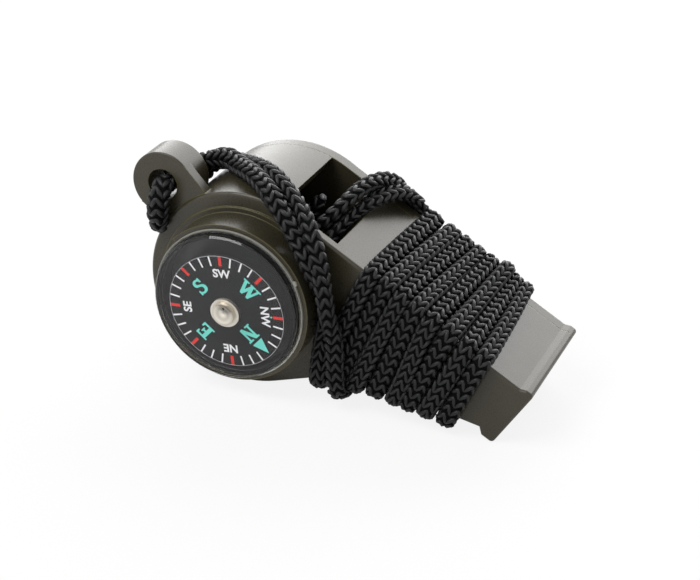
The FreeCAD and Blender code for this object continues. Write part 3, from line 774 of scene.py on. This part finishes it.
def small_letters(settings):
    """The four in-between points, in plain letters."""
    bm = bmesh.new()
    for word in ("NE", "SE", "SW", "NW"):
        data = bpy.data.curves.new(word, "FONT")
        data.body = word
        data.align_x, data.align_y = "CENTER", "CENTER"
        data.size = SMALL_HIGH * MM
        data.offset = SMALL_BOLD * MM
        place = toward(settings, POINTS.index(word)) @ Matrix.Translation((0, SMALL_STAND * MM, 0))
        add_flat(bm, data, place, settings.print_height)
    return print_mesh(bm, "dial_small_letters")


def edge_line(settings):
    """The thin pale line round the card."""
    bm = bmesh.new()
    ring = bmesh.ops.create_circle(bm, segments=128, radius=LINE_R * MM)["verts"]
    edges = list({e for v in ring for e in v.link_edges})
    made = bmesh.ops.extrude_edge_only(bm, edges=edges)["geom"]
    wider = (LINE_R + LINE_WIDTH) / LINE_R
    bmesh.ops.scale(bm, vec=(wider, wider, 1), verts=[v for v in made if isinstance(v, bmesh.types.BMVert)])
    raised(bm, list(bm.faces), settings.print_height)
    return print_mesh(bm, "dial_edge_line")


def oil_fill():
    """The clear oil that fills the capsule. It reaches a hair into lid and base, so that no air shows between."""
    # heights along the barrel's axis from its near end, and radii inside lid and base, in millimetres
    front, dome, seam, back = -5.36, 0.6, -4.09, -1.17
    in_lid, in_base = 9.51, 9.45
    outline = [(0, front - dome)]
    outline += [(in_lid * i / 10, front - dome * (1 - (i / 10) ** 2)) for i in range(1, 11)]
    outline += [(in_lid, seam), (in_base, seam), (in_base, back), (0, back)]
    bm = bmesh.new()
    rim = [bm.verts.new((r, y, 0)) for r, y in outline]
    edges = [bm.edges.new(pair) for pair in zip(rim, rim[1:])]
    bmesh.ops.spin(bm, geom=rim + edges, cent=(0, 0, 0), axis=(0, 1, 0), angle=math.tau, steps=96, use_merge=True)
    bmesh.ops.remove_doubles(bm, verts=bm.verts, dist=0.001)
    bmesh.ops.recalc_face_normals(bm, faces=bm.faces)
    bmesh.ops.transform(bm, matrix=Matrix.Translation(BARREL_AXIS) @ Matrix.Scale(MM, 4), verts=bm.verts)
    return mesh_of(bm, "compass_oil", False)


# ---------------------------------------------------------------- operators


class WHISTLE_OT_studio(bpy.types.Operator):
    """Makes the pale floor, the soft lights, the white surroundings and the camera"""
    bl_idname = "whistle.studio"
    bl_label = "Studio"

    def execute(self, context):
        settings = context.scene.whistle_studio
        self.floor(settings)
        self.sky(context, settings)
        self.lamp("back_softbox", (-0.06, 0.53, 0.272), (0.78, 0.60), settings.key)
        self.lamp("front_fill", (-0.28, -0.33, 0.56), (0.40, 0.40), settings.fill)
        self.camera(context)
        context.scene.view_settings.view_transform = "Standard"
        return {"FINISHED"}

    def floor(self, settings):
        """A pale matt floor that takes the shadow, and is plain white farther off."""
        made, tree, where = material("studio_floor")
        grain = add(tree, "ShaderNodeTexNoise", None, Vector=where, Scale=300).outputs["Fac"]
        tone = ramp(tree, grain, 0, 1, rgba([c * 0.995 for c in settings.floor]), rgba(settings.floor))
        matt = add(tree, "ShaderNodeBsdfDiffuse", None, Color=tone).outputs["BSDF"]
        glow = add(tree, "ShaderNodeEmission", None, Color=(1, 1, 1, 1), Strength=1.0).outputs["Emission"]
        path = add(tree, "ShaderNodeLightPath")
        seen = add(
            tree, "ShaderNodeMath", {"operation": "MAXIMUM"}, _0=path.outputs["Is Camera Ray"],
            _1=path.outputs["Is Transmission Ray"]).outputs["Value"]
        # near the object the floor keeps its shadow; past half a metre, behind the softbox too, it is plain white
        away = add(tree, "ShaderNodeVectorMath", {"operation": "LENGTH"}, _0=where).outputs["Value"]
        plain = add(
            tree, "ShaderNodeMapRange", None, Value=away, From_Min=0.25, From_Max=0.5, To_Min=0.86, To_Max=1.0
        ).outputs["Result"]
        direct = add(tree, "ShaderNodeMath", {"operation": "MULTIPLY"}, _0=seen, _1=plain).outputs["Value"]
        share = add(
            tree, "ShaderNodeMath", {"operation": "MULTIPLY_ADD"}, _0=path.outputs["Is Glossy Ray"], _1=0.25,
            _2=direct).outputs["Value"]
        shader = add(tree, "ShaderNodeMixShader", None, _0=share, _1=matt, _2=glow).outputs["Shader"]
        add(tree, "ShaderNodeOutputMaterial", Surface=shader)
        bm = bmesh.new()
        bmesh.ops.create_grid(bm, x_segments=8, y_segments=8, size=3)
        floor = bpy.data.objects.new("floor", mesh_of(bm, "floor"))
        floor.data.materials.append(made)
        bpy.context.scene.collection.objects.link(floor)

    def sky(self, context, settings):
        """Even light from all round, plain white to the camera, in reflections and through clear pieces."""
        world = bpy.data.worlds.new("white_room")
        world.use_nodes = True
        tree = world.node_tree
        tree.nodes.clear()
        path = add(tree, "ShaderNodeLightPath")
        seen = path.outputs["Is Camera Ray"]
        for kind in ("Is Glossy Ray", "Is Transmission Ray"):
            seen = add(
                tree, "ShaderNodeMath", {"operation": "MAXIMUM"}, _0=seen, _1=path.outputs[kind]).outputs["Value"]
        level = add(tree, "ShaderNodeMapRange", None, Value=seen, To_Min=settings.sky, To_Max=1.0)
        white = add(tree, "ShaderNodeBackground", None, Color=(1, 1, 1, 1), Strength=level.outputs["Result"])
        add(tree, "ShaderNodeOutputWorld", None, Surface=white.outputs["Background"])
        context.scene.world = world

    def lamp(self, name, place, size, power):
        """A soft light that faces the whistle."""
        data = bpy.data.lights.new(name, "AREA")
        data.shape = "RECTANGLE"
        data.size, data.size_y = size
        data.energy = power
        lamp = bpy.data.objects.new(name, data)
        lamp.location = place
        lamp.visible_camera = False
        lamp.rotation_euler = (Vector((0, 0, 0.012)) - Vector(place)).to_track_quat("-Z", "Y").to_euler()
        bpy.context.scene.collection.objects.link(lamp)

    def camera(self, context):
        """The view that was fitted to the picture."""
        data = bpy.data.cameras.new("camera")
        data.lens = 97.0754
        data.sensor_width = 36
        data.clip_start, data.clip_end = 0.01, 20
        camera = bpy.data.objects.new("camera", data)
        camera.location = (0.08106205, -0.20372982, 0.12891948)
        camera.rotation_euler = [math.radians(v) for v in (62.167378, -2.374042, 22.799412)]
        context.scene.collection.objects.link(camera)
        context.scene.camera = camera


class WHISTLE_OT_lanyard(bpy.types.Operator):
    """Lays the knitted cord through the ear, over the barrel, round the mouthpiece and into the window"""
    bl_idname = "whistle.lanyard"
    bl_label = "Lanyard"

    def execute(self, context):
        settings = context.scene.whistle_lanyard
        yarn = polyester_yarn("knitted_polyester", settings.yarn_dark, settings.yarn_light)
        # painted shade: the core is darker and duller than the yarn, for the shade inside the knit
        inside = matt_coat("polyester_inside_and_shade", linear("#060607"), 0.3, 0.9, gleam=0.1)
        # painted highlight: the cut ends are pale grey rather than the yarn's black, for the light caught on the melted
        # tip
        melted = matt_coat("melted_polyester_highlight", linear("#77777b"), 0.4, 0.4, gleam=0.4)
        lay = Lay(route(), INSET * MM)
        core = piece("lanyard_core", cord_core(lay), inside, "whistle")
        courses = int(lay.length / settings.pitch)
        share = math.ceil(courses / 4)
        for number in range(4):
            first = number * share
            name = "lanyard_knit_" + str(number + 1)
            mesh = knitted_cover(lay, settings, first, min(share, courses - first), name)
            piece(name, mesh, yarn, "whistle")
        for number, at_start in enumerate((True, False)):
            name = "lanyard_tip_" + str(number + 1)
            piece(name, cut_end(lay, at_start), melted, "whistle")
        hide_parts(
            "lanyard_wrap", "lanyard_ear_loop", "lanyard_cross_a", "lanyard_cross_b", "lanyard_tuck_a",
            "lanyard_tuck_b")
        print("lanyard length", np.linalg.norm(np.diff(lay.line, axis=0), axis=1).sum())
        return {"FINISHED"}


class WHISTLE_OT_plastics(bpy.types.Operator):
    """Gives the moulded body, the cover and the ball their plastics"""
    bl_idname = "whistle.plastics"
    bl_label = "Plastics"

    def execute(self, context):
        settings = context.scene.whistle_plastics
        olive = moulded_abs("moulded_olive_abs", settings.olive, settings.olive_edge_highlight, settings.edge_round, 0.29)
        for name in ("whistle_body", "side_cover"):
            NODES[name].material_slots[0].material = olive
        NODES["pea"].material_slots[0].material = matt_coat("pressed_cork", settings.pea, 0.6, 0.7, 0.3, 0.5)
        return {"FINISHED"}


class WHISTLE_OT_compass(bpy.types.Operator):
    """Gives the capsule its clear lid, oil, black housing, bearing, pin and magnet"""
    bl_idname = "whistle.compass"
    bl_label = "Compass"

    def execute(self, context):
        settings = context.scene.whistle_plastics
        # painted highlight: the housing's edges are tinted with its black made 1.6 times brighter
        NODES["compass_base"].material_slots[0].material = moulded_abs(
            "moulded_black_abs", settings.black, [c * 1.6 for c in settings.black], settings.edge_round, 0.3)
        NODES["compass_lid"].material_slots[0].material = clear_acrylic("clear_acrylic")
        piece("compass_oil", oil_fill(), clear_oil("clear_oil"), "whistle")
        metal = nickel_plate("turned_nickel_plate")
        NODES["bearing_cup"].material_slots[0].material = metal
        NODES["pivot_pin"].material_slots[0].material = metal
        NODES["card_magnet"].material_slots[0].material = matt_coat("sintered_ferrite", linear("#2a2a2c"), 0.1, 0.6)
        return {"FINISHED"}


class WHISTLE_OT_dial(bpy.types.Operator):
    """Prints ticks, letters and the north pointer on the card"""
    bl_idname = "whistle.dial"
    bl_label = "Dial"

    def execute(self, context):
        settings = context.scene.whistle_dial
        ink = {
            tone: matt_coat(tone + "_screen_ink", getattr(settings, tone), 0.15, 0.5, 0.06, gleam=0.05)
            for tone in ("teal", "red", "white")
        }
        NODES["compass_card"].material_slots[0].material = matt_coat(
            "painted_card", settings.card, 0.12, 0.45, 0.08, gleam=0.05)
        fine = [n / 4 for n in range(32) if n % 4]
        inner, outer = settings.tick_inner, settings.tick_outer
        prints = [
            (tick_marks(settings, fine, settings.tick_width, inner, outer, "dial_fine_ticks"), "white"),
            (tick_marks(settings, range(1, 8), settings.point_width, inner, outer, "dial_point_ticks"), "red"),
            (letter_shapes(settings), "teal"),
            (small_letters(settings), "white"),
            (edge_line(settings), "white"),
        ]
        for mesh, tone in prints:
            piece(mesh.name, mesh, ink[tone], "card")
        return {"FINISHED"}


class WHISTLE_PT_panel(bpy.types.Panel):
    """Lists the makers of the whistle's pieces with their settings"""
    bl_idname = "WHISTLE_PT_panel"
    bl_label = "Survival whistle"
    bl_space_type = "VIEW_3D"
    bl_region_type = "UI"
    bl_category = "Whistle"

    def draw(self, context):
        groups = {
            "studio": context.scene.whistle_studio,
            "lanyard": context.scene.whistle_lanyard,
            "plastics": context.scene.whistle_plastics,
            "compass": None,
            "dial": context.scene.whistle_dial,
        }
        for name, group in groups.items():
            box = self.layout.box()
            box.operator("whistle." + name)
            for key in group.__annotations__ if group else ():
                box.prop(group, key)


GROUPS = {
    "whistle_plastics": WhistlePlastics,
    "whistle_dial": WhistleDial,
    "whistle_lanyard": WhistleLanyard,
    "whistle_studio": WhistleStudio,
}
CLASSES = (
    WHISTLE_OT_studio,
    WHISTLE_OT_lanyard,
    WHISTLE_OT_plastics,
    WHISTLE_OT_compass,
    WHISTLE_OT_dial,
    WHISTLE_PT_panel,
)


def register():
    for name, group in GROUPS.items():
        bpy.utils.register_class(group)
        setattr(bpy.types.Scene, name, PointerProperty(type=group))
    for item in CLASSES:
        bpy.utils.register_class(item)


def unregister():
    for item in reversed(CLASSES):
        bpy.utils.unregister_class(item)
    for name, group in GROUPS.items():
        delattr(bpy.types.Scene, name)
        bpy.utils.unregister_class(group)


def main():
    register()
    bpy.ops.whistle.studio()
    bpy.ops.whistle.lanyard()
    bpy.ops.whistle.plastics()
    bpy.ops.whistle.compass()
    bpy.ops.whistle.dial()


if __name__ == "__main__":
    main()
